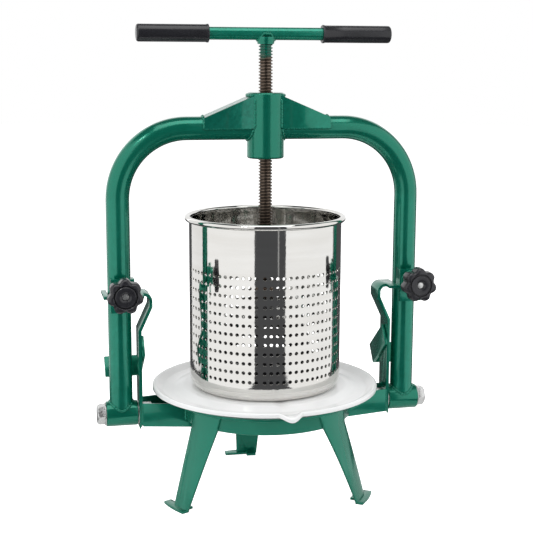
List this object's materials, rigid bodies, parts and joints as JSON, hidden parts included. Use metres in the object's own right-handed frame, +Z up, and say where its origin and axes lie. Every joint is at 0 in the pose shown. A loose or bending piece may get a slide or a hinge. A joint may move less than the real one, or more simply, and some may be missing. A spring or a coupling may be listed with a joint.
{
  "type": "basket wine press",
  "caption": "Bench-top basket press for fruit: a screw in a tilting tubular yoke over a perforated basket, with a juice tray on a three-legged ring base.",
  "frame": {"origin": "on the floor under the axis of the basket, in the middle of the foot bolt circle", "axes": "+Z up along the screw, +X along the span of the yoke to the right-hand pivot, -Y towards the juice lip and the knobs"},
  "size_m": [0.4472, 0.3096, 0.615],
  "materials": {
    "green_enamel": "gloss powder coat",
    "white_enamel": "gloss enamel",
    "stainless": "polished outside, brushed inside",
    "bare_steel": "rolled thread with a light oil film",
    "zinc": "bright zinc plate",
    "black_plastic": "satin moulding"
  },
  "bodies": {
    "base": {"base_ring": "green_enamel", "leg_front_left": "green_enamel", "leg_front_right": "green_enamel", "leg_rear": "green_enamel", "arm_left": "green_enamel", "arm_right": "green_enamel", "pivot_bolt_left": "zinc", "pivot_bolt_right": "zinc", "pivot_nut_left": "zinc", "pivot_nut_right": "zinc", "pivot_washers_left": "zinc", "pivot_washers_right": "zinc", "lock_strap_left": "green_enamel", "lock_strap_right": "green_enamel", "cradle_left": "green_enamel", "cradle_right": "green_enamel", "lock_bracket_left": "green_enamel", "lock_bracket_right": "green_enamel", "lock_bush_left": "green_enamel", "lock_bush_right": "green_enamel"},
    "yoke": {"hub": "green_enamel", "yoke_post_left": "green_enamel", "yoke_post_right": "green_enamel", "pivot_sleeve_left": "green_enamel", "pivot_sleeve_right": "green_enamel", "gusset_left": "green_enamel", "gusset_right": "green_enamel"},
    "swivel": {"screw_foot": "bare_steel"},
    "screw": {"press_screw": "bare_steel", "handle_bar": "green_enamel", "handle_collar": "green_enamel", "handle_grip_left": "black_plastic", "handle_grip_right": "black_plastic"},
    "tray": {"drip_tray": "white_enamel"},
    "basket": {"basket": "stainless"},
    "plate": {"press_plate": "black_plastic"},
    "left_washer": {"knob_washer_left": "zinc"},
    "left_knob": {"knob_left": "black_plastic", "knob_stud_left": "zinc"},
    "right_washer": {"knob_washer_right": "zinc"},
    "right_knob": {"knob_right": "black_plastic", "knob_stud_right": "zinc"}
  },
  "joints": [
    {"name": "yoke_tilt", "type": "hinge", "parent": "base", "child": "yoke", "pos_m": [0, 0, 0.115], "axis": [-1, 0, 0], "range_deg": [0, 18]},
    {"name": "screw_travel", "type": "slide", "parent": "yoke", "child": "swivel", "axis": [0, 0, 1], "range_m": [-0.052, 0.168]},
    {"name": "screw_turn", "type": "hinge", "parent": "swivel", "child": "screw", "pos_m": [0, 0, 0.4], "axis": [0, 0, 1], "range_deg": [-4680, 15120]},
    {"name": "tray_lift", "type": "slide", "parent": "base", "child": "tray", "axis": [0, 0, -1], "range_m": [-0.02, 0]},
    {"name": "basket_lift", "type": "slide", "parent": "tray", "child": "basket", "axis": [0, 0, 1], "range_m": [0, 0.025]},
    {"name": "plate_lift", "type": "slide", "parent": "basket", "child": "plate", "axis": [0, 0, 1], "range_m": [0, 0.06]},
    {"name": "knob_left_travel", "type": "slide", "parent": "base", "child": "left_washer", "axis": [0, -1, 0], "range_m": [0, 0.012]},
    {"name": "knob_left_turn", "type": "hinge", "parent": "left_washer", "child": "left_knob", "pos_m": [-0.1905, -0.06, 0.284], "axis": [0, -1, 0], "range_deg": [0, 2880]},
    {"name": "knob_right_travel", "type": "slide", "parent": "base", "child": "right_washer", "axis": [0, -1, 0], "range_m": [0, 0.012]},
    {"name": "knob_right_turn", "type": "hinge", "parent": "right_washer", "child": "right_knob", "pos_m": [0.1905, -0.06, 0.284], "axis": [0, -1, 0], "range_deg": [0, 2880]}
  ],
  "couplings": [
    {"joint": "screw_travel", "follows": "screw_turn", "m_per_rad": 0.0006366},
    {"joint": "knob_left_travel", "follows": "knob_left_turn", "m_per_rad": 0.0002387},
    {"joint": "knob_right_travel", "follows": "knob_right_turn", "m_per_rad": 0.0002387}
  ]
}
